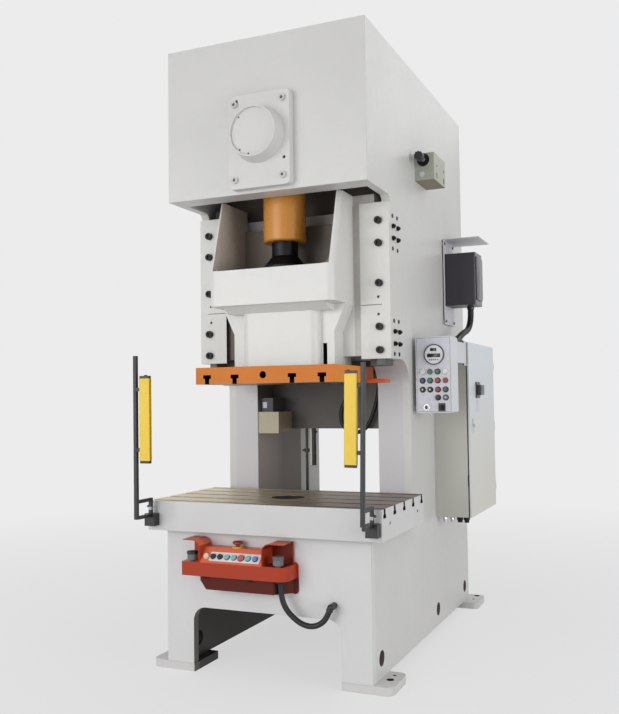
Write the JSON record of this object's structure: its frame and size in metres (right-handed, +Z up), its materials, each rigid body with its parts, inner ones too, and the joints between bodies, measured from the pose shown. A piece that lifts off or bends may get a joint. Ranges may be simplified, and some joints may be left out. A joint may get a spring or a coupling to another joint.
{
  "type": "mechanical stamping press",
  "caption": "C-frame mechanical stamping press with crank-driven slide, T-slotted bolster, two-hand console, light curtain and side cabinet.",
  "frame": {"origin": "on the floor, at the middle of the four anchor holes", "axes": "+X to the operator's right, -Y towards the operator, +Z up along the slide's travel"},
  "size_m": [1.6183, 2.469, 3.565],
  "materials": {
    "frame_white": "semi-gloss machine paint",
    "slide_white": "semi-gloss machine paint",
    "frame_inside": "paint on inner plates",
    "amber_paint": "semi-gloss paint",
    "machined_steel": "machined, oiled",
    "dark_steel": "blackened",
    "bronze": "machined",
    "cast_grey": "machined cast iron",
    "belt_rubber": "matt",
    "cord_black": "matt",
    "panel_grey": "powder coat",
    "cabinet_white": "powder coat",
    "valve_grey": "hammer paint",
    "inverter_black": "fine texture",
    "console_orange": "powder coat",
    "curtain_yellow": "smooth",
    "black_paint": "semi-gloss",
    "button_grey": "matt",
    "button_black": "matt",
    "button_red": "gloss",
    "button_green": "gloss",
    "beige_plastic": "matt",
    "bright_steel": "bright"
  },
  "bodies": {
    "frame": {"side_plate_left": "frame_white", "side_plate_right": "frame_white", "columns": "frame_white", "crown_front": "frame_white", "crown_top": "frame_white", "way_plate": "frame_white", "cross_beam": "frame_inside", "bearing_wall_front": "frame_inside", "bearing_wall_rear": "frame_inside", "bed_plate": "frame_white", "base_front": "frame_white", "base_rear": "frame_white", "foot_plates": "frame_white", "rear_cover": "frame_white", "bolster": "machined_steel", "bearing_bushes": "bronze", "motor": "valve_grey", "drive_belts": "belt_rubber", "gib_plates": "slide_white", "slide_ways": "cast_grey", "frame_screws": "dark_steel", "crank_cover": "frame_white", "valve_box": "valve_grey", "cabinet": "cabinet_white", "cabinet_gear": "beige_plastic", "inverter_box": "inverter_black", "inverter_bracket": "cabinet_white", "conduit": "cord_black", "console": "console_orange", "console_cable": "cord_black", "curtain_arm_left": "black_paint", "curtain_arm_right": "black_paint", "light_bar_left": "curtain_yellow", "light_bar_right": "curtain_yellow", "throat_box": "beige_plastic", "guide_rod": "button_black", "throat_hose": "cord_black"},
    "crank": {"crankshaft": "machined_steel", "main_gear": "cast_grey"},
    "rod": {"connecting_rod": "amber_paint", "adjusting_screw": "dark_steel"},
    "pinion": {"pinion_shaft": "machined_steel", "clutch_brake": "cast_grey"},
    "flywheel": {"flywheel": "cast_grey"},
    "motor_pulley": {"motor_pulley": "cast_grey"},
    "slide": {"slide_body": "slide_white", "slide_plate": "amber_paint", "ball_seat": "bronze"},
    "cabinet_door": {"cabinet_door": "cabinet_white"},
    "isolator_handle": {"isolator_handle": "button_black"},
    "panel": {"panel_arm": "cabinet_white", "panel_box": "panel_grey"},
    "start_button": {"start_button": "button_green"},
    "stop_button": {"stop_button": "button_red"},
    "panel_knob": {"panel_knob": "button_black"},
    "panel_key": {"panel_key": "bright_steel"},
    "valve_knob": {"valve_knob": "button_black"},
    "palm_button_left": {"palm_button_left": "button_grey"},
    "palm_button_right": {"palm_button_right": "button_grey"},
    "console_stop": {"console_stop": "button_red"}
  },
  "joints": [
    {"name": "slide_stroke", "type": "slide", "parent": "frame", "child": "slide", "axis": [0, 0, 1], "range_m": [-0.18, 0]},
    {"name": "crank_turn", "type": "hinge", "parent": "frame", "child": "crank", "pos_m": [0, -0.839, 2.985], "axis": [0, 1, 0], "range_deg": [0, 180]},
    {"name": "rod_turn", "type": "hinge", "parent": "crank", "child": "rod", "pos_m": [0, -0.839, 3.075], "axis": [0, 1, 0], "range_deg": [-180, 0]},
    {"name": "pinion_turn", "type": "hinge", "parent": "frame", "child": "pinion", "pos_m": [0, -0.839, 2.421], "axis": [0, 1, 0], "range_deg": [-1028.6, 0]},
    {"name": "flywheel_turn", "type": "hinge", "parent": "frame", "child": "flywheel", "pos_m": [0, 0.166, 2.421], "axis": [0, 1, 0], "continuous": true},
    {"name": "motor_turn", "type": "hinge", "parent": "frame", "child": "motor_pulley", "pos_m": [0, 0.166, 1.64], "axis": [0, 1, 0], "continuous": true},
    {"name": "door_turn", "type": "hinge", "parent": "frame", "child": "cabinet_door", "pos_m": [0.847, 0.89, 1.307], "axis": [0, 0, 1], "range_deg": [0, 110]},
    {"name": "isolator_turn", "type": "hinge", "parent": "cabinet_door", "child": "isolator_handle", "pos_m": [0.86, 0.341, 1.562], "axis": [1, 0, 0], "range_deg": [0, 90]},
    {"name": "panel_swing", "type": "hinge", "parent": "frame", "child": "panel", "pos_m": [0.82, 0.061, 1.795], "axis": [0, 0, 1], "range_deg": [0, 80]},
    {"name": "start_press", "type": "slide", "parent": "panel", "child": "start_button", "axis": [0, 1, 0], "range_m": [0, 0.004], "stiffness_N_per_m": 700, "springref_m": -0.004},
    {"name": "stop_press", "type": "slide", "parent": "panel", "child": "stop_button", "axis": [0, 1, 0], "range_m": [0, 0.004], "stiffness_N_per_m": 700, "springref_m": -0.004},
    {"name": "panel_knob_turn", "type": "hinge", "parent": "panel", "child": "panel_knob", "pos_m": [0.705, -0.369, 1.458], "axis": [0, 1, 0], "range_deg": [0, 90]},
    {"name": "key_turn", "type": "hinge", "parent": "panel", "child": "panel_key", "pos_m": [0.797, -0.369, 1.458], "axis": [0, 1, 0], "range_deg": [0, 90]},
    {"name": "valve_knob_turn", "type": "hinge", "parent": "frame", "child": "valve_knob", "pos_m": [0.676, -0.239, 2.993], "axis": [0, 1, 0], "range_deg": [0, 300]},
    {"name": "palm_left_press", "type": "slide", "parent": "frame", "child": "palm_button_left", "axis": [0, 0, -1], "range_m": [0, 0.005], "stiffness_N_per_m": 3000, "springref_m": -0.006},
    {"name": "palm_right_press", "type": "slide", "parent": "frame", "child": "palm_button_right", "axis": [0, 0, -1], "range_m": [0, 0.005], "stiffness_N_per_m": 3000, "springref_m": -0.006},
    {"name": "console_stop_press", "type": "slide", "parent": "frame", "child": "console_stop", "axis": [0, 0, -1], "range_m": [0, 0.006], "stiffness_N_per_m": 3000, "springref_m": -0.006}
  ],
  "couplings": [
    {"joint": "crank_turn", "follows": "slide_stroke", "rad_per_m": -17.453},
    {"joint": "rod_turn", "follows": "slide_stroke", "rad_per_m": 17.453},
    {"joint": "pinion_turn", "follows": "slide_stroke", "rad_per_m": 99.733},
    {"joint": "motor_turn", "follows": "flywheel_turn", "ratio": 5.02}
  ]
}
